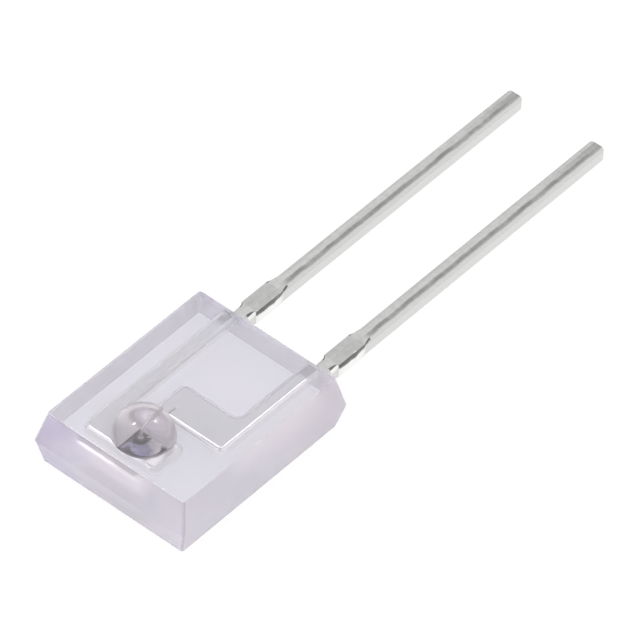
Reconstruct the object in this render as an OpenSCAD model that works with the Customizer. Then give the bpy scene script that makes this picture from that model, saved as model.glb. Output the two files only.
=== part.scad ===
// Side-looking phototransistor in clear lilac epoxy, lying on its back.
// The lens looks along +Z and the leads run along +Y.
// Zero is the middle of the flat back face.

/* [Body] */
// Width at the parting line, mm
body_width = 4.6; // [4.2:0.05:6]
// Length at the parting line, along the leads, mm
body_length = 5.77; // [4.5:0.01:8]
// Thickness from the back face to the lens face, mm
body_thickness = 1.6; // [1.5:0.05:2.2]
// Height of the parting line above the back face, mm
parting_height = 0.7; // [0.6:0.01:0.9]
// Draft of the walls on both sides of the parting line, degrees
draft = 13; // [5:0.5:18]
// Radius of the upright edges, mm
corner_radius = 0.08; // [0.04:0.01:0.3]

/* [Lens] */
// Radius of the moulded half-ball lens, mm
lens_radius = 0.75; // [0.5:0.01:0.9]
// Distance from the lens axis to the end wall away from the leads, mm
lens_from_end = 1.2; // [1.1:0.01:1.8]

/* [Leads] */
// Distance between the leads, centre to centre, mm
lead_pitch = 2.54; // [2.2:0.01:2.9]
// Width of a lead, mm
lead_width = 0.45; // [0.38:0.01:0.55]
// Thickness of the stamped strip, mm
strip_thickness = 0.4; // [0.3:0.01:0.5]
// Height of the strip's underside above the back face, mm
strip_bottom = 0.58; // [0.5:0.01:0.62]
// Length of a lead outside the body, mm
lead_length = 10.45; // [4:0.05:20]
// Radius that the punch rolls onto the upper edges, mm
edge_roll = 0.13; // [0.05:0.01:0.16]
// Radius of a tip's corners seen from above, mm
tip_corner = 0.12; // [0.05:0.01:0.18]

/* [Tie-bar stubs] */
// Distance from the body to the stub's cut sides, mm
stub_setback = 0.62; // [0.5:0.01:2]
// Length of the stub's cut sides, mm
stub_length = 0.91; // [0.4:0.01:2]
// Width across a stub, from cut to cut, mm
stub_width = 0.48; // [0.46:0.01:0.9]
// Length of the hollow flare on the body side of a stub, mm
flare_length = 0.16; // [0.1:0.01:0.45]
// Length of the straight taper on the tip side of a stub, mm
taper_length = 0.35; // [0.1:0.01:0.6]

/* [Pads inside the body] */
// Width of the die pad, from the outer edge of its lead, mm
die_pad_width = 2.3; // [2.1:0.01:2.5]
// Width of the bond pad, from the outer edge of its lead, mm
bond_pad_width = 2.1; // [1.9:0.01:2.3]
// Length of each pad along the leads, mm
pad_length = 1.1; // [1.0:0.01:1.3]
// Distance from the lens axis to the die pad's front edge, mm
pad_ahead = 0.5; // [0.48:0.01:0.6]
// Gap between the two pads, mm
pad_gap = 0.42; // [0.2:0.01:0.8]
// Radius of the pads' corners, mm
pad_corner = 0.2; // [0.14:0.01:0.3]
// Radius of the fillet between a pad and its lead, mm
pad_fillet = 0.16; // [0.05:0.01:0.3]

/* [Die] */
// Side of the square die, mm
die_size = 0.62; // [0.4:0.01:0.64]
// Thickness of the die, mm
die_thickness = 0.2; // [0.1:0.01:0.25]
// Thickness of the adhesive under the die, mm
adhesive_thickness = 0.025; // [0.01:0.005:0.04]
// Width of adhesive that shows round the die, mm
adhesive_margin = 0.03; // [0.01:0.005:0.04]

/* [Bond wire] */
// Thickness of the wire, mm
wire_diameter = 0.03; // [0.018:0.001:0.05]
// Width of the ball squashed onto the die, mm
ball_diameter = 0.09; // [0.06:0.005:0.12]
// Height of the squashed ball, mm
ball_height = 0.03; // [0.015:0.005:0.04]
// Distance from the die's edges to the middle of the ball, mm
ball_inset = 0.09; // [0.07:0.005:0.15]
// Height of the wire's loop above the die, mm
loop_height = 0.15; // [0.06:0.01:0.18]
// Distance from the bond pad's front edge to the end of the wire, mm
stitch_setback = 0.34; // [0.25:0.01:0.7]
// Width of the wire's flattened end, mm
stitch_width = 0.07; // [0.055:0.005:0.1]
// Thickness of the wire's flattened end, mm
stitch_height = 0.014; // [0.008:0.001:0.02]

/* [Hidden] */
$fn = 64;

// walls and upright edges
inset_top = (body_thickness - parting_height) * tan(draft);
inset_back = parting_height * tan(draft);
edge_lean = atan(sqrt(2) * tan(draft));
half_corner = 90 - acos(sin(draft) ^ 2) / 2;

// levels and stations of the lead frame
strip_top = strip_bottom + strip_thickness;
lens_y = lens_from_end - body_length / 2;
lead_exit = body_length / 2;
lead_tip = lead_exit + lead_length;
stub_start = lead_exit + stub_setback;
stub_end = stub_start + stub_length;
die_pad_front = lens_y - pad_ahead;
die_pad_back = die_pad_front + pad_length;
bond_pad_front = die_pad_back + pad_gap;
bond_pad_back = bond_pad_front + pad_length;
FLARE_STEPS = 8;

// die and wire
adhesive_size = die_size + 2 * adhesive_margin;
die_bottom = strip_top + adhesive_thickness;
die_top = die_bottom + die_thickness;
ball_offset = die_size / 2 - ball_inset;
ball_point = [-ball_offset, lens_y + ball_offset];
stitch_point = [ball_point.x, bond_pad_front + stitch_setback];
WIRE_SIDES = 8;
WIRE_STEPS = 20;
// handles of the loop's curve: rise as a multiple of the loop's height, reach as a share of the span
LOOP_RISE = 3;
LOOP_REACH = 0.65;
wire_radius = wire_diameter / 2 / cos(180 / WIRE_SIDES);

// Half of a wall's profile is its distance from the middle; the walls lean in from the parting line.
function wall_profile(half) = [
    [inset_back - half, 0],
    [half - inset_back, 0],
    [half, parting_height],
    [half - inset_top, body_thickness],
    [inset_top - half, body_thickness],
    [-half, parting_height]
];

// What rounding takes off the edge that rises from the origin and leans towards -X and -Y.
// In its section the edge is at zero and x runs into the body, midway between the two walls.
module edge_waste() {
    axis = corner_radius / sin(half_corner);
    far = 3 * corner_radius;
    rotate([0, edge_lean, 225])
        translate([0, 0, -corner_radius])
            linear_extrude(2 * body_thickness)
                difference() {
                    polygon([
                        [axis, 0],
                        [axis - far * sin(half_corner), far * cos(half_corner)],
                        [axis - far * sin(half_corner), -far * cos(half_corner)]
                    ]);
                    translate([axis, 0])
                        circle(corner_radius);
                }
}

// Two crossed profiles give the leaning walls; the eight upright edges are then rounded.
module drafted_block() {
    difference() {
        intersection() {
            rotate([90, 0, 0])
                linear_extrude(2 * body_length, center = true)
                    polygon(wall_profile(body_width / 2));
            rotate([90, 0, 90])
                linear_extrude(2 * body_width, center = true)
                    polygon(wall_profile(body_length / 2));
        }
        for (flip_x = [0, 1], flip_y = [0, 1], flip_z = [0, 1])
            mirror([flip_x, 0, 0])
                mirror([0, flip_y, 0])
                    translate([body_width / 2, body_length / 2, parting_height])
                        mirror([0, 0, flip_z])
                            edge_waste();
    }
}

// Section of the strip from a to b: square below, both upper edges rolled over.
module rolled_section(a, b) {
    translate([a, strip_bottom])
        square([b - a, strip_thickness - edge_roll]);
    translate([a + edge_roll, strip_bottom])
        square([b - a - 2 * edge_roll, strip_thickness]);
    for (edge = [a + edge_roll, b - edge_roll])
        translate([edge, strip_top - edge_roll])
            circle(edge_roll);
}

module round_rectangle(x0, x1, y0, y1, radius) {
    translate([x0 + radius, y0])
        square([x1 - x0 - 2 * radius, y1 - y0]);
    translate([x0, y0 + radius])
        square([x1 - x0, y1 - y0 - 2 * radius]);
    for (x = [x0 + radius, x1 - radius], y = [y0 + radius, y1 - radius])
        translate([x, y])
            circle(radius);
}

// A flat pad with rolled upper edges and round corners.
module stamped_pad(x0, x1, y0, y1) {
    intersection() {
        rotate([90, 0, 0])
            translate([0, 0, -y1])
                linear_extrude(y1 - y0)
                    rolled_section(x0, x1);
        rotate([90, 0, 90])
            translate([0, 0, x0])
                linear_extrude(x1 - x0)
                    rolled_section(y0, y1);
        translate([0, 0, strip_bottom])
            linear_extrude(strip_thickness)
                round_rectangle(x0, x1, y0, y1, pad_corner);
    }
}

// A straight run of strip about x = 0 with rolled upper edges.
module strip(width, y0, y1) {
    rotate([90, 0, 0])
        translate([0, 0, -y1])
            linear_extrude(y1 - y0)
                rolled_section(-width / 2, width / 2);
}

// The tip's end is rolled over like the sides, and its corners are round.
module lead_strip(y0) {
    intersection() {
        strip(lead_width, y0, lead_tip);
        rotate([90, 0, 90])
            linear_extrude(lead_width, center = true)
                rolled_section(y0 - edge_roll, lead_tip);
        translate([0, 0, strip_bottom])
            linear_extrude(strip_thickness)
                round_rectangle(-lead_width / 2, lead_width / 2, y0 - tip_corner, lead_tip, tip_corner);
    }
}

// What is left of the tie bar where it was cut off: sharp sides over the strip's full thickness.
// A hollow flare leads from the flat between the rolled edges out to the cuts, and a taper back.
module tie_bar_stub() {
    flat = lead_width / 2 - edge_roll;
    side = stub_width / 2 - flat;
    flare = [
        for (i = [0 : FLARE_STEPS])
            let (a = 90 * i / FLARE_STEPS)
                [flat + side * (1 - cos(a)), stub_start - flare_length * (1 - sin(a))]
    ];
    right_side = concat(flare, [[stub_width / 2, stub_end], [flat, stub_end + taper_length]]);
    left_side = [for (i = [len(right_side) - 1 : -1 : 0]) [-right_side[i].x, right_side[i].y]];
    translate([0, 0, strip_bottom])
        linear_extrude(strip_thickness)
            polygon(concat(right_side, left_side));
}

// Hollow fillet in the corner at the origin, which fills x > 0, y > 0.
module corner_fillet(radius) {
    translate([0, 0, strip_bottom])
        linear_extrude(strip_thickness - edge_roll)
            difference() {
                square(radius);
                translate([radius, radius])
                    circle(radius);
            }
}

// Clear epoxy moulded round the lead frame, with the lens in one piece with it.
module epoxy_body() {
    color([0.86, 0.83, 0.92, 0.4])
        difference() {
            union() {
                drafted_block();
                translate([0, lens_y, body_thickness])
                    sphere(lens_radius);
            }
            collector_lead();
            emitter_lead();
            die_adhesive();
            die();
            bond_wire();
        }
}

// Stamped lead that carries the die.
module collector_lead() {
    outer_edge = -(lead_pitch + lead_width) / 2;
    color("silver") {
        translate([-lead_pitch / 2, 0, 0]) {
            lead_strip((die_pad_front + die_pad_back) / 2);
            tie_bar_stub();
        }
        stamped_pad(outer_edge, outer_edge + die_pad_width, die_pad_front, die_pad_back);
        translate([outer_edge + lead_width, die_pad_back, 0])
            corner_fillet(pad_fillet);
    }
}

// Stamped lead that takes the far end of the wire.
module emitter_lead() {
    outer_edge = (lead_pitch + lead_width) / 2;
    color("silver") {
        translate([lead_pitch / 2, 0, 0]) {
            lead_strip((bond_pad_front + bond_pad_back) / 2);
            tie_bar_stub();
        }
        stamped_pad(outer_edge - bond_pad_width, outer_edge, bond_pad_front, bond_pad_back);
        translate([outer_edge - lead_width, bond_pad_back, 0])
            mirror([1, 0, 0])
                corner_fillet(pad_fillet);
    }
}

// Conductive adhesive between the die pad and the die.
module die_adhesive() {
    half = adhesive_size / 2;
    color("gainsboro")
        translate([0, lens_y, strip_top])
            linear_extrude(adhesive_thickness)
                round_rectangle(-half, half, -half, half, 2 * adhesive_margin);
}

// Silicon die on the lens axis.
module die() {
    color("dimgray")
        translate([-die_size / 2, lens_y - die_size / 2, die_bottom])
            cube([die_size, die_size, die_thickness]);
}

// Gold wire: up from the ball, over in a loop and flat onto the bond pad.
module bond_wire() {
    span = norm(stitch_point - ball_point);
    heading = (stitch_point - ball_point) / span;
    start_z = die_top + ball_height / 2;
    end_z = strip_top + wire_diameter / 2;
    controls = [
        [0, start_z],
        [0, start_z + LOOP_RISE * loop_height],
        [LOOP_REACH * span, end_z],
        [span, end_z]
    ];
    rings = [
        for (i = [0 : WIRE_STEPS])
            let (
                t = i / WIRE_STEPS,
                centre = bezier(controls, t),
                along = bezier_tangent(controls, t)
            )
                [
                    for (k = [0 : WIRE_SIDES - 1])
                        let (
                            a = (k + 0.5) * 360 / WIRE_SIDES,
                            sideways = wire_radius * cos(a),
                            up = wire_radius * sin(a),
                            forward = centre.x - up * along.y
                        )
                            [
                                ball_point.x + heading.x * forward - heading.y * sideways,
                                ball_point.y + heading.y * forward + heading.x * sideways,
                                centre.y + up * along.x
                            ]
                ]
    ];
    color("gold") {
        tube(rings);
        translate([ball_point.x, ball_point.y, die_top])
            cylinder(d = ball_diameter, h = ball_height, $fn = 12);
        translate([stitch_point.x, stitch_point.y, strip_top])
            cylinder(d = stitch_width, h = stitch_height, $fn = 12);
    }
}

function bezier(p, t) =
    (1 - t) ^ 3 * p[0] + 3 * (1 - t) ^ 2 * t * p[1] + 3 * (1 - t) * t ^ 2 * p[2] + t ^ 3 * p[3];

function bezier_tangent(p, t) =
    let (v = (1 - t) ^ 2 * (p[1] - p[0]) + 2 * (1 - t) * t * (p[2] - p[1]) + t ^ 2 * (p[3] - p[2]))
        v / norm(v);

// Closed tube through rings of points that all have the same count.
module tube(rings) {
    sides = len(rings[0]);
    last = len(rings) - 1;
    walls = [
        for (i = [0 : last - 1], k = [0 : sides - 1])
            let (n = (k + 1) % sides)
                [i * sides + k, (i + 1) * sides + k, (i + 1) * sides + n, i * sides + n]
    ];
    first_cap = [for (k = [0 : sides - 1]) k];
    last_cap = [for (k = [sides - 1 : -1 : 0]) last * sides + k];
    polyhedron(
        points = [for (ring = rings, point = ring) point],
        faces = concat([first_cap], walls, [last_cap])
    );
}

epoxy_body();
collector_lead();
emitter_lead();
die();
die_adhesive();
bond_wire();
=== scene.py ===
"""Side-looking phototransistor in clear lilac epoxy, dressed around its CAD frame.

All lengths are metres in the CAD frame: the lens looks along +Z, the leads run along +Y,
and zero is the middle of the back face. Materials measure places in millimetres of that frame.
"""
import math

import bmesh
import bpy
from mathutils import Matrix, Vector


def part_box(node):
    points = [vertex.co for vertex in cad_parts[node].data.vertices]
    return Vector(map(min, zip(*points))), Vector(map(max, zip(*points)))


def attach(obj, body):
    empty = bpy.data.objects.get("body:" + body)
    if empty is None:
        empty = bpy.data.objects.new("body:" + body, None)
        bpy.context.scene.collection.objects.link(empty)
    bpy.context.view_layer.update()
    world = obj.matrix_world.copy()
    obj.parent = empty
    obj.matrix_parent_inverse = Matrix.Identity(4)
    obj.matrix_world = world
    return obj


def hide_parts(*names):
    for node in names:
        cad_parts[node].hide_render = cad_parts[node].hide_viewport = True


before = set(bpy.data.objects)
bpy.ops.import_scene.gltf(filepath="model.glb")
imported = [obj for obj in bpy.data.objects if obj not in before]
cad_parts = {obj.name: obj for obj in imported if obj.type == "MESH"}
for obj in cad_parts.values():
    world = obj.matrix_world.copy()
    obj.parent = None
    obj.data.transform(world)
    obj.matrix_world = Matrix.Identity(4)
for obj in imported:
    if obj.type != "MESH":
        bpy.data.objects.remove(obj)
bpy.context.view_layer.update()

MM = 0.001

# Places that the CAD nodes give
_, BODY_HIGH = (Vector(c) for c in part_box("epoxy_body"))
COLLECTOR_LOW, COLLECTOR_HIGH = (Vector(c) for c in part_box("collector_lead"))
EMITTER_LOW, _ = (Vector(c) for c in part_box("emitter_lead"))
DIE_LOW, DIE_HIGH = (Vector(c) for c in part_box("die"))
ADHESIVE_LOW, ADHESIVE_HIGH = (Vector(c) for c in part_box("die_adhesive"))

# Body; the walls lean in from the parting line on both sides
HALF_WIDTH = BODY_HIGH.x
HALF_LENGTH = BODY_HIGH.y
THICKNESS = 1.6 * MM
PARTING = 0.7 * MM
DRAFT = math.radians(13)
INSET_TOP = (THICKNESS - PARTING) * math.tan(DRAFT)
INSET_BACK = PARTING * math.tan(DRAFT)
CORNER = 0.08 * MM
FACE_EDGE = 0.035 * MM
PARTING_EDGE = 0.03 * MM
LENS_CENTRE = (DIE_LOW + DIE_HIGH) / 2
LENS_RADIUS = BODY_HIGH.z - THICKNESS
LENS_FILLET = 0.025 * MM

# Lead frame
STRIP_LOW = COLLECTOR_LOW.z
STRIP_HIGH = COLLECTOR_HIGH.z
LEAD_TIP = COLLECTOR_HIGH.y
LEAD_X = 1.27 * MM
LEAD_WIDTH = 0.45 * MM
STUB_WIDTH = 0.48 * MM
STUB_START = HALF_LENGTH + 0.62 * MM
STUB_END = STUB_START + 0.91 * MM
STUB_SHOULDER = STUB_END + 0.04 * MM
FLARE = 0.28 * MM
TAPER = 0.35 * MM
PAD_LENGTH = 1.1 * MM
PAD_CORNER = 0.2 * MM
PAD_FILLET = 0.16 * MM
EDGE_ROLL = 0.13 * MM
SHARP_ROLL = 0.03
TIP_CORNER = 0.12 * MM
BURR = 0.015 * MM

# Chip and adhesive
DIE_HALF = (DIE_HIGH.x - DIE_LOW.x) / 2
ADHESIVE_HALF = (ADHESIVE_HIGH.x - ADHESIVE_LOW.x) / 2
ADHESIVE_CREEP = 0.05 * MM

# Bond wire
WIRE_RADIUS = 0.015 * MM
WIRE_STEPS = 60
PRESSED_FROM = 52
BALL_RADIUS = 0.045 * MM
BALL_HEIGHT = 0.03 * MM
BALL_INSET = 0.09 * MM
BALL_POLE = 0.012 * MM
STITCH_HALF = 0.035 * MM
STITCH_SETBACK = 0.34 * MM
LOOP_HEIGHT = 0.15 * MM

# Part of a noise pattern's range that most of it lies in
NOISE_MIDDLE = (0.3, 0.7)

# Camera fitted to the photograph: turn, height and roll, distance, and pixels to a millimetre
CAMERA_TURN = math.radians(39.406)
CAMERA_HEIGHT = math.radians(46.671)
CAMERA_ROLL = -0.042
CAMERA_DISTANCE = 200 * MM
PIXELS_PER_MM = 43.148
ORIGIN_PIXEL = Vector((-129.853, 122.765))
IMAGE_WIDTH = 640


# Meshes
def make_piece(name, mesh, node, material):
    """Put a finished bmesh in the scene in place of a CAD node."""
    data = bpy.data.meshes.new(name)
    mesh.to_mesh(data)
    mesh.free()
    data.polygons.foreach_set("use_smooth", [True] * len(data.polygons))
    data.materials.append(material)
    piece = bpy.data.objects.new(name, data)
    bpy.context.scene.collection.objects.link(piece)
    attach(piece, "root")
    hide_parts(node)


def add_rings(mesh, rings):
    """Skin closed rings of points that all have the same count; returns the vertex rings."""
    made = [[mesh.verts.new(p) for p in ring] for ring in rings]
    for lower, upper in zip(made, made[1:]):
        for i in range(len(lower)):
            j = (i + 1) % len(lower)
            mesh.faces.new((lower[i], lower[j], upper[j], upper[i]))
    return made


def close_ends(mesh, rings):
    """Cap the first and the last of the vertex rings."""
    mesh.faces.new(list(reversed(rings[0])))
    mesh.faces.new(rings[-1])


def level_circle(centre, radius, height, count):
    turns = [2 * math.pi * k / count for k in range(count)]
    return [(centre.x + radius * math.cos(a), centre.y + radius * math.sin(a), height) for a in turns]


def rounded_rectangle(half_x, half_y, radius, steps, support=0.0):
    """Outline about zero with round corners; support adds a point on each flat beside a corner."""
    ring = []
    for quadrant, (sx, sy) in enumerate(((1, 1), (-1, 1), (-1, -1), (1, -1))):
        centre = Vector((sx * (half_x - radius), sy * (half_y - radius)))
        arc = []
        for i in range(steps + 1):
            a = (quadrant + i / steps) * math.pi / 2
            arc.append(centre + radius * Vector((math.cos(a), math.sin(a))))
        if support:
            start = quadrant * math.pi / 2
            before = arc[0] + support * Vector((math.sin(start), -math.cos(start)))
            after = arc[-1] - support * Vector((math.cos(start), math.sin(start)))
            arc = [before, *arc, after]
        ring += arc
    return ring


def round_corner(before, corner, after, radius, steps, support):
    """Points that round one corner of a line, with one more on each flat beside it."""
    back = (before - corner).normalized()
    ahead = (after - corner).normalized()
    half = back.angle(ahead) / 2
    reach = radius / math.tan(half)
    centre = corner + (back + ahead).normalized() * (radius / math.sin(half))
    first = corner + back * reach
    last = corner + ahead * reach
    arc = []
    for i in range(steps + 1):
        mixed = (first - centre).lerp(last - centre, i / steps)
        arc.append(centre + mixed.normalized() * radius)
    return [first + back * support, *arc, last + ahead * support]


# Epoxy body
def body_profile():
    """Rounded (inset, height) line of a wall, from the back face over the parting line to the lens face."""
    inner = 0.3 * MM
    line = [
        Vector((INSET_BACK + inner, 0)),
        Vector((INSET_BACK, 0)),
        Vector((0, PARTING)),
        Vector((INSET_TOP, THICKNESS)),
        Vector((INSET_TOP + inner, THICKNESS)),
    ]
    radii = (FACE_EDGE, PARTING_EDGE, FACE_EDGE)
    profile = []
    for before, corner, after, radius in zip(line, line[1:], line[2:], radii):
        profile += round_corner(before, corner, after, radius, steps=5, support=0.015 * MM)
    return profile


def body_ring(inset, height):
    """Outline of the body at one height; its corners tighten where the edges turn onto a face."""
    wall_inset = abs(height - PARTING) * math.tan(DRAFT)
    radius = max(CORNER - max(inset - wall_inset, 0), CORNER / 4)
    outline = rounded_rectangle(HALF_WIDTH - inset, HALF_LENGTH - inset, radius, steps=10, support=0.03 * MM)
    return [(p.x, p.y, height) for p in outline]


def lens_rings():
    """Rings from the lens face up the small fillet and over the half ball."""
    around, up, fillet_steps = 96, 30, 4
    support = 0.02 * MM
    profile = [(LENS_RADIUS + LENS_FILLET + support, 0), (LENS_RADIUS + LENS_FILLET, 0)]
    for i in range(1, fillet_steps + 1):
        a = i * math.pi / 2 / fillet_steps
        profile.append((LENS_RADIUS + LENS_FILLET * (1 - math.sin(a)), LENS_FILLET * (1 - math.cos(a))))
    first = math.asin(LENS_FILLET / LENS_RADIUS)
    for i in range(1, up):
        a = first + (math.pi / 2 - first) * i / up
        profile.append((LENS_RADIUS * math.cos(a), LENS_RADIUS * math.sin(a)))
    return [level_circle(LENS_CENTRE, radius, THICKNESS + rise, around) for radius, rise in profile]


def epoxy_mesh():
    """Closed outer skin of the moulding; the lead frame, chip and wire lie inside it."""
    mesh = bmesh.new()
    walls = add_rings(mesh, [body_ring(p.x, p.y) for p in body_profile()])
    mesh.faces.new(list(reversed(walls[0])))
    lens = add_rings(mesh, lens_rings())
    pole = mesh.verts.new((LENS_CENTRE.x, LENS_CENTRE.y, THICKNESS + LENS_RADIUS))
    last = lens[-1]
    for i in range(len(last)):
        mesh.faces.new((last[i], last[(i + 1) % len(last)], pole))
    rims = []
    for ring in (walls[-1], lens[0]):
        rims += [mesh.edges.get((ring[i], ring[i - 1])) for i in range(len(ring))]
    bmesh.ops.triangle_fill(mesh, edges=rims, use_beauty=True, normal=(0, 0, 1))
    bmesh.ops.recalc_face_normals(mesh, faces=mesh.faces)
    return mesh


# Stamped leads
def stub_edge():
    """One side of the stub as (u, y, roll): the roll of the upper edge dies out in the hollow flare."""
    half, wide = LEAD_WIDTH / 2, STUB_WIDTH / 2
    flat = half - EDGE_ROLL
    flare_steps, taper_steps = 12, 8
    cut_lead_in = 0.004 * MM
    edge = []
    for i in range(flare_steps + 1):
        a = i * math.pi / 2 / flare_steps
        top = flat + (wide - flat) * (1 - math.cos(a))
        roll = max((half - top) / EDGE_ROLL, SHARP_ROLL)
        edge.append((half, STUB_START - FLARE * (1 - math.sin(a)), roll))
    edge.append((wide, STUB_START + cut_lead_in, SHARP_ROLL))
    edge.append((wide, STUB_END, SHARP_ROLL))
    edge.append((half, STUB_SHOULDER, SHARP_ROLL))
    for i in range(1, taper_steps + 1):
        share = i / taper_steps
        y = STUB_SHOULDER + (STUB_END + TAPER - STUB_SHOULDER) * share
        edge.append((half, y, max(share, SHARP_ROLL)))
    return edge


def lead_outline(side, pad_reach, pad_front):
    """Corners of one lead in the plane of the strip: (u, y, radius, roll), u growing towards its pad."""
    half = LEAD_WIDTH / 2
    pad_back = pad_front + PAD_LENGTH
    stub = stub_edge()
    corners = [
        (-half, pad_front, PAD_CORNER, 1),
        (pad_reach, pad_front, PAD_CORNER, 1),
        (pad_reach, pad_back, PAD_CORNER, 1),
        (half, pad_back, PAD_FILLET, 1),
    ]
    corners += [(u, y, 0, roll) for u, y, roll in stub]
    corners += [(half, LEAD_TIP, TIP_CORNER, 1), (-half, LEAD_TIP, TIP_CORNER, 1)]
    corners += [(-u, y, 0, roll) for u, y, roll in reversed(stub)]
    if side < 0:
        corners.reverse()
    return [(side * u, y, radius, roll) for u, y, radius, roll in corners]


def move_inwards(corners, inset):
    """The corners' places after each has moved inwards by its roll's share of inset."""
    points = [Vector((u, y)) for u, y, _, _ in corners]
    moved = []
    for i, point in enumerate(points):
        back = (point - points[i - 1]).normalized()
        ahead = (points[(i + 1) % len(points)] - point).normalized()
        left_back = Vector((-back.y, back.x))
        left_ahead = Vector((-ahead.y, ahead.x))
        mitre = (left_back + left_ahead).normalized()
        roll = corners[i][3]
        moved.append(point + mitre * (inset * roll / mitre.dot(left_ahead)))
    return moved


def inset_outline(corners, inset):
    """The outline moved inwards, with its corners rounded and its flats held."""
    smallest = 0.002 * MM
    moved = move_inwards(corners, inset)
    out = []
    for i, corner in enumerate(moved):
        radius = corners[i][2]
        if radius == 0:
            out.append(corner)
            continue
        before = moved[i - 1]
        after = moved[(i + 1) % len(moved)]
        outer = (before - corner).cross(after - corner) < 0
        radius = max(radius - inset, smallest) if outer else radius + inset
        out += round_corner(before, corner, after, radius, steps=8, support=0.03 * MM)
    return out


def lead_levels():
    """(inset, height) of a lead's rings: a small round below, straight sides, rolled edges above."""
    burr_steps, roll_steps = 3, 8
    hold = 0.01 * MM
    levels = [(BURR + hold, STRIP_LOW), (BURR, STRIP_LOW)]
    for i in range(1, burr_steps + 1):
        a = i * math.pi / 2 / burr_steps
        levels.append((BURR * (1 - math.sin(a)), STRIP_LOW + BURR * (1 - math.cos(a))))
    levels.append((0, STRIP_LOW + BURR + hold))
    levels.append((0, STRIP_HIGH - EDGE_ROLL - hold))
    for i in range(roll_steps + 1):
        a = i * math.pi / 2 / roll_steps
        levels.append((EDGE_ROLL * (1 - math.cos(a)), STRIP_HIGH - EDGE_ROLL * (1 - math.sin(a))))
    levels.append((EDGE_ROLL + hold, STRIP_HIGH))
    return levels


def lead_mesh(lead_x, side, pad_reach, pad_front):
    """One stamped lead with its pad and stub: square below, upper edges rolled over by the punch."""
    corners = lead_outline(side, pad_reach, pad_front)
    rings = []
    for inset, height in lead_levels():
        rings.append([(lead_x + p.x, p.y, height) for p in inset_outline(corners, inset)])
    mesh = bmesh.new()
    close_ends(mesh, add_rings(mesh, rings))
    bmesh.ops.remove_doubles(mesh, verts=mesh.verts, dist=1e-8)
    bmesh.ops.triangulate(mesh, faces=[f for f in mesh.faces if len(f.verts) > 4])
    bmesh.ops.recalc_face_normals(mesh, faces=mesh.faces)
    return mesh


# Chip, adhesive and wire
def stacked_plate(centre, levels, corner, steps):
    """Closed plate through (half size, height) levels with round corners."""
    rings = []
    for half, height in levels:
        outline = rounded_rectangle(half, half, corner, steps)
        rings.append([(centre.x + p.x, centre.y + p.y, height) for p in outline])
    mesh = bmesh.new()
    close_ends(mesh, add_rings(mesh, rings))
    bmesh.ops.recalc_face_normals(mesh, faces=mesh.faces)
    return mesh


def die_mesh():
    """Sawn chip with slightly broken edges."""
    edge = 0.006 * MM
    levels = [
        (DIE_HALF - edge, DIE_LOW.z),
        (DIE_HALF, DIE_LOW.z + edge),
        (DIE_HALF, DIE_HIGH.z - edge),
        (DIE_HALF - edge / 3, DIE_HIGH.z - edge / 3),
        (DIE_HALF - edge, DIE_HIGH.z),
    ]
    return stacked_plate(LENS_CENTRE, levels, corner=0.01 * MM, steps=3)


def adhesive_mesh():
    """Adhesive squeezed out from under the chip, with a hollow fillet up the chip's sides."""
    foot = 0.01 * MM
    undercut, undercut_height = 0.004 * MM, 0.006 * MM
    fillet_steps = 6
    rise = ADHESIVE_HIGH.z - ADHESIVE_LOW.z + ADHESIVE_CREEP
    levels = [
        (ADHESIVE_HALF - undercut, ADHESIVE_LOW.z),
        (ADHESIVE_HALF, ADHESIVE_LOW.z + undercut_height),
    ]
    for i in range(fillet_steps + 1):
        a = i * math.pi / 2 / fillet_steps
        half = DIE_HALF + (ADHESIVE_HALF - DIE_HALF) * (1 - math.sin(a))
        levels.append((half, ADHESIVE_LOW.z + foot + rise * (1 - math.cos(a))))
    return stacked_plate(LENS_CENTRE, levels, corner=0.05 * MM, steps=6)


def wire_path():
    """Middle line of the wire: up from the ball, over in a loop and down onto the bond pad."""
    offset = DIE_HALF - BALL_INSET
    ball = Vector((LENS_CENTRE.x - offset, LENS_CENTRE.y + offset, DIE_HIGH.z + BALL_HEIGHT / 2))
    stitch = Vector((ball.x, EMITTER_LOW.y + STITCH_SETBACK, STRIP_HIGH + WIRE_RADIUS))
    flattens_from = 0.65
    handles = [
        ball,
        ball + Vector((0, 0, 3 * LOOP_HEIGHT)),
        Vector((ball.x, ball.y + flattens_from * (stitch.y - ball.y), stitch.z)),
        stitch,
    ]
    path = []
    for i in range(WIRE_STEPS + 1):
        t = i / WIRE_STEPS
        weights = ((1 - t) ** 3, 3 * (1 - t) ** 2 * t, 3 * (1 - t) * t**2, t**3)
        path.append(sum((w * h for w, h in zip(weights, handles)), Vector()))
    return path


def wire_rings(path):
    """Rings along the wire, which grows wide and thin where it is pressed onto the bond pad."""
    sides, squash = 16, 0.55
    across = Vector((1, 0, 0))
    rings = []
    for i, point in enumerate(path):
        along = (path[min(i + 1, WIRE_STEPS)] - path[max(i - 1, 0)]).normalized()
        up = across.cross(along)
        pressed = max(0.0, (i - PRESSED_FROM) / (WIRE_STEPS - PRESSED_FROM))
        wide = WIRE_RADIUS + (STITCH_HALF - WIRE_RADIUS) * pressed
        thin = WIRE_RADIUS * (1 - squash * pressed)
        middle = point - Vector((0, 0, WIRE_RADIUS - thin))
        turns = [2 * math.pi * k / sides for k in range(sides)]
        rings.append([middle + across * (wide * math.cos(a)) + up * (thin * math.sin(a)) for a in turns])
    return rings


def ball_rings(middle):
    """Rings of the ball that is squashed onto the chip, with small flats at its poles."""
    steps, around = 8, 24
    fullness = 0.8
    rings = []
    for i in range(steps + 1):
        a = -math.pi / 2 + i * math.pi / steps
        radius = BALL_RADIUS * math.cos(a) ** fullness if 0 < i < steps else BALL_POLE
        rise = BALL_HEIGHT * (0.5 + 0.5 * math.sin(a))
        rings.append(level_circle(middle, radius, DIE_HIGH.z + rise, around))
    return rings


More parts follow.
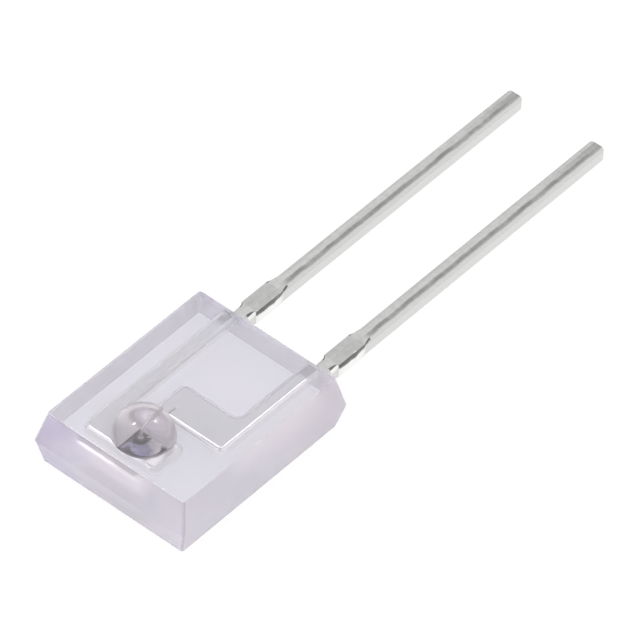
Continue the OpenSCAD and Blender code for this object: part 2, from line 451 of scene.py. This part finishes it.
def wire_mesh():
    """Round wire with its squashed ball and its flattened end."""
    path = wire_path()
    mesh = bmesh.new()
    for rings in (wire_rings(path), ball_rings(path[0])):
        close_ends(mesh, add_rings(mesh, rings))
    bmesh.ops.recalc_face_normals(mesh, faces=mesh.faces)
    return mesh


# Nodes that the materials are made of
def new_material(name):
    """A node material with its tree, its shader and its output."""
    material = bpy.data.materials.new(name)
    material.use_nodes = True
    tree = material.node_tree
    return material, tree, tree.nodes["Principled BSDF"], tree.nodes["Material Output"]


def object_point(tree, scale=(1, 1, 1)):
    """Place on the object, in millimetres and stretched by scale."""
    coordinates = tree.nodes.new("ShaderNodeTexCoord")
    mapping = tree.nodes.new("ShaderNodeMapping")
    mapping.inputs["Scale"].default_value = [s / MM for s in scale]
    tree.links.new(coordinates.outputs["Object"], mapping.inputs["Vector"])
    return mapping.outputs["Vector"]


def split(tree, vector):
    node = tree.nodes.new("ShaderNodeSeparateXYZ")
    tree.links.new(vector, node.inputs["Vector"])
    return node.outputs


def surface_normal(tree):
    geometry = tree.nodes.new("ShaderNodeNewGeometry")
    return split(tree, geometry.outputs["Normal"])


def feed(tree, value, socket):
    """Link a pattern to a socket, or set a plain number or colour on it."""
    if isinstance(value, bpy.types.NodeSocket):
        tree.links.new(value, socket)
    else:
        socket.default_value = value


def noise(tree, point, scale, detail=4.0, roughness=0.55):
    node = tree.nodes.new("ShaderNodeTexNoise")
    node.inputs["Scale"].default_value = scale
    node.inputs["Detail"].default_value = detail
    node.inputs["Roughness"].default_value = roughness
    tree.links.new(point, node.inputs["Vector"])
    return node.outputs["Fac"]


def ramp(tree, value, stops):
    """Colours along a pattern; each stop is the pattern's value and a colour."""
    node = tree.nodes.new("ShaderNodeValToRGB")
    elements = node.color_ramp.elements
    while len(elements) < len(stops):
        elements.new(0.5)
    for element, (position, colour) in zip(elements, stops):
        element.position = position
        element.color = colour
    tree.links.new(value, node.inputs["Fac"])
    return node.outputs["Color"]


def map_range(tree, value, source, target):
    """Map a pattern from one range of numbers to another, and hold it at the ends."""
    node = tree.nodes.new("ShaderNodeMapRange")
    node.inputs["From Min"].default_value, node.inputs["From Max"].default_value = source
    node.inputs["To Min"].default_value, node.inputs["To Max"].default_value = target
    tree.links.new(value, node.inputs["Value"])
    return node.outputs["Result"]


def spread(tree, value, low, high):
    """Stretch the middle of a noise pattern over a range of numbers."""
    return map_range(tree, value, NOISE_MIDDLE, (low, high))


def step_up(tree, value, low, high):
    """0 below low, 1 above high; with low above high it steps down."""
    return map_range(tree, value, (low, high), (0.0, 1.0))


def combine(tree, operation, first, second=0.0):
    node = tree.nodes.new("ShaderNodeMath")
    node.operation = operation
    feed(tree, first, node.inputs[0])
    feed(tree, second, node.inputs[1])
    return node.outputs[0]


def times(tree, first, *others):
    for other in others:
        first = combine(tree, "MULTIPLY", first, other)
    return first


def largest(tree, first, *others):
    for other in others:
        first = combine(tree, "MAXIMUM", first, other)
    return first


def window(tree, value, low, high, soft):
    """1 between low and high, fading to 0 over the width soft on both sides."""
    return times(tree, step_up(tree, value, low - soft, low), step_up(tree, value, high + soft, high))


def distance(tree, x, y):
    squares = [times(tree, value, value) for value in (x, y)]
    return combine(tree, "SQRT", combine(tree, "ADD", *squares))


def offset_from(tree, centre):
    """Place on the object across and along from a centre, in millimetres."""
    point = split(tree, object_point(tree))
    return [combine(tree, "SUBTRACT", point[axis], middle / MM) for axis, middle in zip("XY", centre)]


def mix_number(tree, share, first, second):
    """Blend two numbers or patterns by a 0 to 1 share."""
    node = tree.nodes.new("ShaderNodeMix")
    feed(tree, share, node.inputs["Factor"])
    feed(tree, first, node.inputs["A"])
    feed(tree, second, node.inputs["B"])
    return node.outputs["Result"]


def mix_colour(tree, share, first, second):
    """Blend two colours or coloured patterns by a 0 to 1 share."""
    node = tree.nodes.new("ShaderNodeMix")
    node.data_type = "RGBA"
    # a mix node lists the sockets of all its data types; these are the colours
    feed(tree, share, node.inputs["Factor"])
    feed(tree, first, node.inputs[6])
    feed(tree, second, node.inputs[7])
    return node.outputs[2]


def bump(tree, height, depth, strength):
    node = tree.nodes.new("ShaderNodeBump")
    feed(tree, strength, node.inputs["Strength"])
    node.inputs["Distance"].default_value = depth
    tree.links.new(height, node.inputs["Height"])
    return node.outputs["Normal"]


def grey(level):
    """Grey with slightly less blue, as tin and silver have."""
    return (level, level, level * 0.985, 1)


def grey_range(tree, pattern, low, high):
    """Greys along the middle of a noise pattern."""
    return ramp(tree, pattern, list(zip(NOISE_MIDDLE, (grey(low), grey(high)))))


# Epoxy
def epoxy_zones(tree, point):
    """Shares of the leaning walls, the front wall, the edge at its right that is painted darker as shade,
    the back and the lens.
    """
    normal = surface_normal(tree)
    height = split(tree, point)["Z"]
    face = THICKNESS / MM
    leaning = step_up(tree, combine(tree, "ABSOLUTE", normal["Z"]), 0.85, 0.5)
    walls = times(tree, leaning, step_up(tree, height, face + 0.01, face - 0.01))
    to_front = times(tree, normal["Y"], -1.0)
    to_front_right = combine(tree, "MINIMUM", normal["X"], to_front)
    return {
        "walls": walls,
        "front": times(tree, walls, step_up(tree, to_front, 0.80, 0.90)),
        # the upright edge between the front and right walls, which the tint darkens as painted shade
        "edge": times(tree, walls, step_up(tree, to_front_right, 0.30, 0.50)),
        "back": step_up(tree, height, 0.02, 0.01),
        "lens": step_up(tree, height, face + 0.005, face + 0.015),
    }


def epoxy_tint(tree, point, zones):
    """Lilac in faint clouds; as painted shade, the front wall grows darker and bluer to its left, and the
    edge at its right is darker.
    """
    clouds = noise(tree, point, 0.7, 2.0)
    left_end = step_up(tree, split(tree, point)["X"], -0.2, -1.2)
    # painted shade: the front wall grows darker and bluer towards its left end
    left_shade = combine(tree, "ADD", clouds, times(tree, left_end, 0.38))
    flats = ramp(tree, clouds, [(0.38, (0.955, 0.93, 0.985, 1)), (0.62, (0.935, 0.93, 1.0, 1))])
    walls = ramp(tree, clouds, [(0.38, (0.99, 0.92, 0.99, 1)), (0.62, (0.95, 0.92, 1.0, 1))])
    front = ramp(tree, left_shade, [
        (0.38, (0.97, 0.90, 0.97, 1)),
        (0.62, (0.92, 0.88, 0.99, 1)),
        (0.95, (0.78, 0.72, 0.93, 1)),
    ])
    walls = mix_colour(tree, zones["front"], walls, front)
    # painted shade on the upright edge at the front wall's right
    walls = mix_colour(tree, zones["edge"], walls, (0.76, 0.71, 0.79, 1))
    tint = mix_colour(tree, zones["walls"], flats, walls)
    return mix_colour(tree, zones["lens"], tint, (1.0, 0.93, 0.985, 1))


def epoxy_finish(tree, point, zones):
    """Polished lens face and lens, satin front wall, other walls and back matt from the mould."""
    polished = spread(tree, noise(tree, point, 2.5), 0.015, 0.05)
    satin = spread(tree, noise(tree, point, 2.2), 0.15, 0.25)
    matt = spread(tree, noise(tree, point, 4.0), 0.50, 0.60)
    matt = mix_number(tree, zones["front"], matt, satin)
    return mix_number(tree, largest(tree, zones["walls"], zones["back"]), polished, matt)


def epoxy_material():
    """Clear epoxy with a faint lilac tint and a little haze, least in the lens and most in the walls."""
    clear_face, clear_walls, clear_lens = 0.78, 0.66, 0.88
    material, tree, shader, output = new_material("clear_lilac_epoxy")
    shader.inputs["IOR"].default_value = 1.55
    point = object_point(tree)
    zones = epoxy_zones(tree, point)
    tree.links.new(epoxy_tint(tree, point, zones), shader.inputs["Base Color"])
    clear = mix_number(tree, zones["walls"], clear_face, clear_walls)
    clear = mix_number(tree, zones["lens"], clear, clear_lens)
    tree.links.new(clear, shader.inputs["Transmission Weight"])
    tree.links.new(epoxy_finish(tree, point, zones), shader.inputs["Roughness"])
    waves = noise(tree, point, 1.6, 3.0)
    wavy = bump(tree, waves, 0.004 * MM, mix_number(tree, zones["walls"], 0.25, 0.05))
    tree.links.new(wavy, shader.inputs["Normal"])
    absorption = tree.nodes.new("ShaderNodeVolumeAbsorption")
    absorption.inputs["Color"].default_value = (0.32, 0.12, 0.42, 1)
    absorption.inputs["Density"].default_value = 8
    tree.links.new(absorption.outputs["Volume"], output.inputs["Volume"])
    return material


# Tin and silver plate
def lead_place(tree):
    """Place on a lead in millimetres: across from its middle, along it and up."""
    point = split(tree, object_point(tree))
    middle = times(tree, combine(tree, "SIGN", point["X"]), LEAD_X / MM)
    return combine(tree, "SUBTRACT", point["X"], middle), point["Y"], point["Z"]


def dark_edge_and_tip(tree, across, along, drift):
    """1 on a painted dark reflection along one rolled upper edge beyond the stub, and on a darker share of
    most of the top near the tip.
    """
    start, tip = STUB_END / MM, LEAD_TIP / MM
    wander = combine(tree, "ADD", across, spread(tree, drift, -0.018, 0.018))
    band = times(tree, window(tree, wander, 0.06, 0.13, 0.04), spread(tree, drift, 0.65, 1.1))
    near_tip = step_up(tree, along, tip - 2.2, tip - 0.5)
    wide = times(tree, window(tree, wander, -0.06, 0.10, 0.06), near_tip, 0.6)
    return times(tree, largest(tree, band, wide), step_up(tree, along, start + 0.15, start + 0.4))


def flare_marks(tree, colour, place, facing, dark):
    """The hollow flare: a painted white highlight under a dark lip, and on its left grey, then dark close to
    the stub.
    """
    across, along, _ = place
    start = STUB_START / MM
    flare = window(tree, along, start - FLARE / MM + 0.03, start, 0.03)
    left = step_up(tree, across, -0.05, -0.10)
    hollow = times(tree, flare, window(tree, facing, 0.15, 0.93, 0.05))
    near_stub = window(tree, along, start - 0.12, start, 0.02)
    # painted highlight: the hollow's right is white, as its rolled edge catches the light
    colour = mix_colour(tree, hollow, colour, mix_colour(tree, left, grey(0.97), grey(0.57)))
    colour = mix_colour(tree, times(tree, hollow, left, near_stub), colour, dark)
    right = combine(tree, "SUBTRACT", flare, left)
    lip = times(tree, right, window(tree, facing, 0.75, 0.975, 0.015))
    return mix_colour(tree, lip, colour, dark)


def cut_sides(tree, colour, place, flat, ragged, dark):
    """The cut tore the upper part of the stub's sides, most in the middle; below the tear the sides are
    painted light as a reflection of the white table, near-white along the stub.
    """
    _, along, up = place
    start, end, top = STUB_START / MM, STUB_END / MM, STRIP_HIGH / MM
    rise = combine(
        tree, "ADD",
        times(tree, step_up(tree, along, start + 0.2, start), 0.04),
        times(tree, step_up(tree, along, end - 0.25, end + 0.25), 0.13),
    )
    rough_height = combine(tree, "ADD", up, spread(tree, ragged, -0.02, 0.02))
    torn = step_up(tree, combine(tree, "SUBTRACT", rough_height, rise), top - 0.20, top - 0.14)
    # painted reflection of the white table on the sides below the tear
    reflecting_sides = mix_colour(tree, step_up(tree, along, end - 0.05, end + 0.1), grey(0.95), grey(0.72))
    side = times(tree, window(tree, along, start, end + 0.25, 0.01), step_up(tree, flat, 1, 0))
    return mix_colour(tree, side, colour, mix_colour(tree, torn, reflecting_sides, dark))


def cut_marks(tree, colour, place, facing, patterns):
    """The stub as the cutter left it, with painted glints as bright dots along its right edge and a dark
    corner at its left.
    """
    across, along, up = place
    pattern, ragged = patterns
    start, end, top = STUB_START / MM, STUB_END / MM, STRIP_HIGH / MM
    dark = grey_range(tree, pattern, 0.13, 0.24)
    flat = step_up(tree, facing, 0.85, 0.95)
    stub_top = times(tree, window(tree, along, start, end, 0.01), flat)
    colour = mix_colour(tree, stub_top, colour, grey_range(tree, pattern, 0.43, 0.57))
    colour = flare_marks(tree, colour, place, facing, dark)
    colour = cut_sides(tree, colour, place, flat, ragged, dark)
    right_edge = window(tree, across, 0.22, 0.24, 0.01)
    # painted glints: bright dots along the stub's right top edge
    glint_dots = times(tree, right_edge, step_up(tree, ragged, 0.57, 0.62), stub_top)
    colour = mix_colour(tree, glint_dots, colour, grey(0.9))
    left_edge = step_up(tree, across, -0.19, -0.215)
    near_top = step_up(tree, up, top - 0.12, top - 0.06)
    corner = times(tree, window(tree, along, end - 0.03, end + 0.06, 0.02), left_edge, near_top)
    return mix_colour(tree, corner, colour, dark)


def silver_zones(tree, normal):
    """Shares of the silver painted bright and of the dull silver.

    Painted light makes it bright at the die pad's right end, round the chip, and on sides and undersides.
    It is dull along the long edges of the collector's bar and of the die pad.
    """
    point = split(tree, object_point(tree))
    bond_pad_front = EMITTER_LOW.y / MM
    collector_bar = step_up(tree, point["X"], -0.75, -0.85)
    die_pad = step_up(tree, point["Y"], bond_pad_front - 0.1, bond_pad_front - 0.2)
    pad_end = times(tree, die_pad, step_up(tree, point["X"], 0.2, 0.5))
    to_chip = distance(tree, *offset_from(tree, LENS_CENTRE))
    round_chip = times(tree, step_up(tree, to_chip, 0.78, 0.55), 0.6)
    not_top = step_up(tree, normal["Z"], 0.25, 0.10)
    sideways = step_up(tree, combine(tree, "ABSOLUTE", normal["X"]), 0.03, 0.08)
    dull = times(tree, sideways, largest(tree, collector_bar, die_pad))
    # painted light: these places are coloured brighter silver
    return largest(tree, pad_end, round_chip, not_top), dull


def bare_tin(tree, place, facing, pattern, rolled):
    """Colour and roughness of the tin outside the body: a painted dark reflection along one rolled edge,
    sides painted lighter as a reflection of the white table, and the cutter's marks with their painted
    highlights.
    """
    across, along, _ = place
    ragged = noise(tree, object_point(tree, (0.1, 6, 0.1)), 1.0, 3.0)
    drift = noise(tree, object_point(tree, (0.1, 1.5, 0.1)), 1.0, 3.0)
    darkened = dark_edge_and_tip(tree, across, along, drift)
    colour = ramp(tree, pattern, [(0.3, grey(0.49)), (0.5, grey(0.57)), (0.7, grey(0.66))])
    # painted dark reflection along one rolled upper edge; most of the top near the tip is darkened too
    colour = mix_colour(tree, darkened, colour, grey_range(tree, pattern, 0.25, 0.37))
    # painted reflection: steep sides are lighter, standing in for the white table they mirror
    colour = mix_colour(tree, step_up(tree, facing, 0.90, 0.62), colour, grey(0.72))
    colour = cut_marks(tree, colour, place, facing, (pattern, ragged))
    marked = largest(tree, darkened, rolled)
    return colour, mix_number(tree, marked, spread(tree, pattern, 0.42, 0.30), 0.62)


def silver_plate(tree, pattern, rolled, painted_light, dull):
    """Colour and roughness of the silver inside the body, with painted light where it is bright and rolled
    edges painted near-white as highlights.
    """
    colour = mix_colour(tree, painted_light, grey_range(tree, pattern, 0.57, 0.62), grey(0.94))
    # painted highlight: rolled edges are near-white
    colour = mix_colour(tree, rolled, colour, mix_colour(tree, dull, grey(0.97), grey(0.95)))
    edge_finish = mix_number(tree, dull, 0.20, 0.80)
    return colour, mix_number(tree, rolled, spread(tree, pattern, 0.26, 0.22), edge_finish)


def tin_material():
    """Tin plate outside the body and silver plate inside it, in one streaked and mottled pattern."""
    material, tree, shader, _ = new_material("tin_plate")
    shader.inputs["Metallic"].default_value = 1.0
    place = lead_place(tree)
    streaks = noise(tree, object_point(tree, (16, 0.7, 16)), 1.0, 5.0)
    mottle = noise(tree, object_point(tree), 7.0, 5.0, 0.6)
    pattern = mix_number(tree, 0.45, mottle, streaks)
    normal = surface_normal(tree)
    facing = normal["Z"]
    painted_light, dull = silver_zones(tree, normal)
    # rolled edges, where the silver is painted near-white as a highlight
    rolled = largest(
        tree,
        window(tree, facing, 0.15, 0.97, 0.02),
        times(tree, dull, window(tree, facing, 0.15, 0.992, 0.006)),
    )
    outside = step_up(tree, place[1], HALF_LENGTH / MM - 0.15, HALF_LENGTH / MM)
    tin, tin_finish = bare_tin(tree, place, facing, pattern, rolled)
    silver, silver_finish = silver_plate(tree, pattern, rolled, painted_light, dull)
    tree.links.new(mix_colour(tree, outside, silver, tin), shader.inputs["Base Color"])
    tree.links.new(mix_number(tree, outside, silver_finish, tin_finish), shader.inputs["Roughness"])
    grain = bump(tree, pattern, 0.006 * MM, mix_number(tree, outside, 0.04, 0.5))
    tree.links.new(grain, shader.inputs["Normal"])
    return material


# Silicon, silver adhesive and gold
def chip_film(tree, slant, specks):
    """Blue film with dark specks at the chip's front left, paling to grey at its back right."""
    film = ramp(tree, step_up(tree, slant, -0.30, 0.36), [
        (0.0, (0.33, 0.34, 0.50, 1)),
        (0.58, (0.26, 0.26, 0.40, 1)),
        (0.80, (0.62, 0.63, 0.63, 1)),
        (1.0, (0.78, 0.78, 0.78, 1)),
    ])
    speckled = times(tree, step_up(tree, specks, 0.50, 0.60), step_up(tree, slant, 0.20, -0.25))
    return mix_colour(tree, speckled, film, (0.08, 0.08, 0.11, 1))


def silicon_material():
    """Passivated silicon: a round window, a darker border beyond its lower side with a rim of painted shade
    between.

    Painted shade darkens the chip's left edge, and a ragged painted shadow rings the ball.
    """
    window_x, window_y, window_radius = -0.10, 0.15, 0.165
    black = (0.008, 0.008, 0.011, 1)
    material, tree, shader, _ = new_material("silicon")
    shader.inputs["IOR"].default_value = 1.5
    half = DIE_HALF / MM
    ball = half - BALL_INSET / MM
    x, y = offset_from(tree, LENS_CENTRE)
    cloud = noise(tree, object_point(tree), 6.0)
    specks = noise(tree, object_point(tree), 22.0)
    slant = combine(tree, "ADD", combine(tree, "ADD", x, y), spread(tree, cloud, -0.06, 0.06))
    to_window = distance(
        tree, combine(tree, "SUBTRACT", x, window_x), combine(tree, "SUBTRACT", y, window_y))
    to_ball = distance(tree, combine(tree, "ADD", x, ball), combine(tree, "SUBTRACT", y, ball))
    below = step_up(tree, combine(tree, "SUBTRACT", x, y), -0.32, -0.24)
    border_share = times(tree, below, step_up(tree, to_window, window_radius - 0.02, window_radius))
    border = mix_colour(
        tree, step_up(tree, slant, -0.1, 0.15), (0.08, 0.08, 0.10, 1), (0.34, 0.32, 0.35, 1))
    film = mix_colour(tree, border_share, chip_film(tree, slant, specks), border)
    # painted shade: a dark rim between the window and the border
    rim_shade = times(tree, below, window(tree, to_window, window_radius, window_radius + 0.03, 0.02))
    # painted shade along the chip's left edge
    left_edge_shade = step_up(tree, x, 0.025 - half, 0.012 - half)
    # painted shadow: a ragged dark ring round the ball
    shadow_reach = combine(tree, "ADD", to_ball, spread(tree, specks, -0.035, 0.035))
    dark = largest(tree, rim_shade, left_edge_shade, step_up(tree, shadow_reach, 0.095, 0.08))
    tree.links.new(mix_colour(tree, dark, film, black), shader.inputs["Base Color"])
    tree.links.new(spread(tree, cloud, 0.15, 0.30), shader.inputs["Roughness"])
    return material


def adhesive_material():
    """Silver-filled adhesive: pale, grainy and dull."""
    material, tree, shader, _ = new_material("silver_adhesive")
    shader.inputs["Metallic"].default_value = 0.7
    grain = noise(tree, object_point(tree), 60.0)
    colour = ramp(tree, grain, [(0.35, (0.45, 0.44, 0.43, 1)), (0.65, (0.72, 0.71, 0.69, 1))])
    tree.links.new(colour, shader.inputs["Base Color"])
    tree.links.new(spread(tree, grain, 0.4, 0.65), shader.inputs["Roughness"])
    tree.links.new(bump(tree, grain, 0.004 * MM, 0.7), shader.inputs["Normal"])
    return material


def gold_material():
    """Drawn gold wire with faint draw lines and painted shade round the brim of its squashed ball."""
    material, tree, shader, _ = new_material("gold")
    shader.inputs["Metallic"].default_value = 1.0
    lines = noise(tree, object_point(tree, (90, 12, 90)), 1.0)
    colour = ramp(tree, lines, [(0.35, (0.58, 0.55, 0.56, 1)), (0.65, (0.66, 0.63, 0.64, 1))])
    reach = distance(tree, *offset_from(tree, wire_path()[0]))
    ball_top = (DIE_HIGH.z + BALL_HEIGHT) / MM
    low = step_up(tree, split(tree, object_point(tree))["Z"], ball_top + 0.01, ball_top)
    # painted shade in the crease where the ball meets the chip
    brim_shade = times(tree, step_up(tree, reach, 0.020, 0.030), step_up(tree, reach, 0.052, 0.048), low)
    colour = mix_colour(tree, brim_shade, colour, (0.10, 0.095, 0.10, 1))
    tree.links.new(colour, shader.inputs["Base Color"])
    tree.links.new(spread(tree, lines, 0.34, 0.44), shader.inputs["Roughness"])
    return material


# Stage, light and camera
def floor_material():
    """White table that glows where it is seen, a little less through the body as painted shade under it, and
    keeps a faint shadow.
    """
    glow_seen, shaded_glow_through, glow_share = 1.04, 0.81, 0.85
    material, tree, shader, output = new_material("white_table")
    shader.inputs["Base Color"].default_value = (0.9, 0.9, 0.9, 1)
    shader.inputs["Roughness"].default_value = 0.9
    shader.inputs["Specular IOR Level"].default_value = 0.0
    rays = tree.nodes.new("ShaderNodeLightPath").outputs
    through = rays["Is Transmission Ray"]
    seen = largest(tree, through, rays["Is Camera Ray"], rays["Is Glossy Ray"])
    glow = tree.nodes.new("ShaderNodeEmission")
    # painted shade: seen through the body, the table glows less
    tree.links.new(mix_number(tree, through, glow_seen, shaded_glow_through), glow.inputs["Strength"])
    blend = tree.nodes.new("ShaderNodeMixShader")
    tree.links.new(times(tree, seen, glow_share), blend.inputs["Fac"])
    tree.links.new(shader.outputs["BSDF"], blend.inputs[1])
    tree.links.new(glow.outputs["Emission"], blend.inputs[2])
    tree.links.new(blend.outputs["Shader"], output.inputs["Surface"])
    return material


def make_floor():
    """Table top just below the body's back face."""
    half, height = 0.6, -0.01 * MM
    mesh = bmesh.new()
    corners = ((-half, -half), (half, -half), (half, half), (-half, half))
    mesh.faces.new([mesh.verts.new((x, y, height)) for x, y in corners])
    data = bpy.data.meshes.new("floor")
    mesh.to_mesh(data)
    mesh.free()
    data.materials.append(floor_material())
    floor = bpy.data.objects.new("floor", data)
    bpy.context.scene.collection.objects.link(floor)


def make_world():
    """Even white light tent, a little brighter overhead."""
    world = bpy.data.worlds.new("studio")
    world.use_nodes = True
    tree = world.node_tree
    coordinates = tree.nodes.new("ShaderNodeTexCoord")
    height = split(tree, coordinates.outputs["Generated"])["Z"]
    tent = ramp(tree, height, [(0.0, (0.98, 0.98, 0.985, 1)), (0.6, (1.02, 1.02, 1.025, 1))])
    tree.links.new(tent, tree.nodes["Background"].inputs["Color"])
    bpy.context.scene.world = world


def add_lamp(name, place, size, power):
    """Round soft lamp that looks at the part."""
    data = bpy.data.lights.new(name, "AREA")
    data.shape = "DISK"
    data.size = size
    data.energy = power
    lamp = bpy.data.objects.new(name, data)
    lamp.location = place
    near_middle = Vector((0, 4 * MM, 0))
    aim = near_middle - lamp.location
    lamp.rotation_euler = aim.to_track_quat("-Z", "Y").to_euler()
    bpy.context.scene.collection.objects.link(lamp)


def make_camera():
    """Camera that sees the part as the photograph does: the fitted view, turned to the picture's middle."""
    level_right = Vector((math.cos(CAMERA_TURN), math.sin(CAMERA_TURN), 0))
    level_ahead = Vector((-math.sin(CAMERA_TURN), math.cos(CAMERA_TURN), 0))
    ahead = math.cos(CAMERA_HEIGHT) * level_ahead - math.sin(CAMERA_HEIGHT) * Vector((0, 0, 1))
    level_down = ahead.cross(level_right)
    right = math.cos(CAMERA_ROLL) * level_right + math.sin(CAMERA_ROLL) * level_down
    down = math.cos(CAMERA_ROLL) * level_down - math.sin(CAMERA_ROLL) * level_right
    focal_pixels = PIXELS_PER_MM * CAMERA_DISTANCE / MM
    middle = -ORIGIN_PIXEL / focal_pixels
    look = (ahead + middle.x * right + middle.y * down).normalized()
    side = (right - right.dot(look) * look).normalized()
    below = look.cross(side)
    data = bpy.data.cameras.new("camera")
    data.sensor_width = 36
    data.lens = data.sensor_width * focal_pixels / IMAGE_WIDTH
    data.clip_start = 0.005
    data.clip_end = 10
    camera = bpy.data.objects.new("camera", data)
    axes = Matrix((side, -below, -look)).transposed().to_4x4()
    camera.matrix_world = Matrix.Translation(-CAMERA_DISTANCE * ahead) @ axes
    bpy.context.scene.collection.objects.link(camera)
    bpy.context.scene.camera = camera


tin_plate = tin_material()
make_piece("epoxy_skin", epoxy_mesh(), "epoxy_body", epoxy_material())
make_piece(
    "collector_strip",
    lead_mesh(-LEAD_X, 1, COLLECTOR_HIGH.x + LEAD_X, COLLECTOR_LOW.y),
    "collector_lead", tin_plate,
)
make_piece(
    "emitter_strip",
    lead_mesh(LEAD_X, -1, LEAD_X - EMITTER_LOW.x, EMITTER_LOW.y),
    "emitter_lead", tin_plate,
)
make_piece("chip", die_mesh(), "die", silicon_material())
make_piece("chip_adhesive", adhesive_mesh(), "die_adhesive", adhesive_material())
make_piece("gold_wire", wire_mesh(), "bond_wire", gold_material())

make_floor()
make_world()
# two small lamps add highlights to the even light of the tent
add_lamp("front_left", place=(-0.126, -0.108, 0.250), size=0.06, power=0.10)
add_lamp("far_right", place=(0.090, 0.159, 0.237), size=0.055, power=0.05)
make_camera()
bpy.context.scene.view_settings.view_transform = "Standard"
# light bounces many times between the body's walls
bpy.context.scene.cycles.max_bounces = 40
bpy.context.scene.cycles.glossy_bounces = 32
bpy.context.scene.cycles.transmission_bounces = 32
